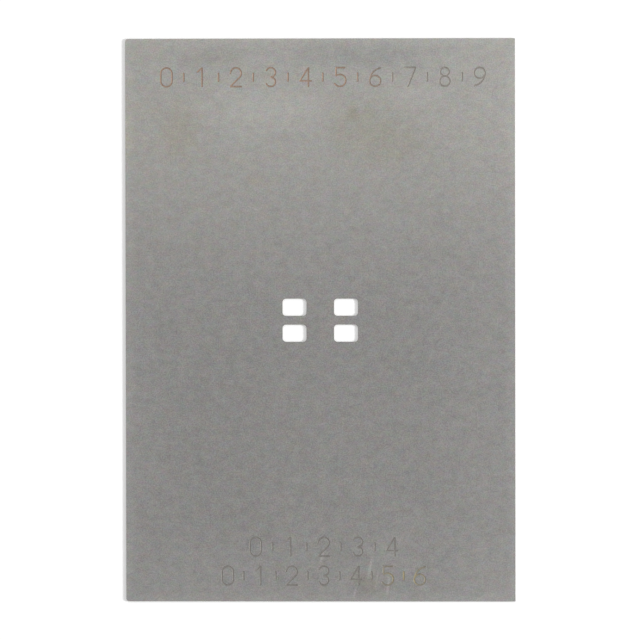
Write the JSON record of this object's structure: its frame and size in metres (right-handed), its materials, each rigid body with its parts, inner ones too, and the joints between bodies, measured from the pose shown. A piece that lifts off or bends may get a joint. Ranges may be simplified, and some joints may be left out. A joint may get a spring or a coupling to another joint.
{
  "type": "solder paste stencil",
  "caption": "Small rectangular solder paste stencil: one flat laser-cut stainless steel foil with a centred block of round-cornered apertures for a surface-mount component.",
  "frame": {"origin": "centre of the foil's board side, the face that lies on the circuit board", "axes": "+X across the foil to the right, +Y along it towards the end with the long marking, +Z out of the squeegee side, which carries the marking"},
  "size_m": [0.0228, 0.033, 0.0001],
  "materials": {
    "rolled_stainless": "satin"
  },
  "bodies": {
    "root": {"stencil_foil": "rolled_stainless"}
  },
  "joints": []
}
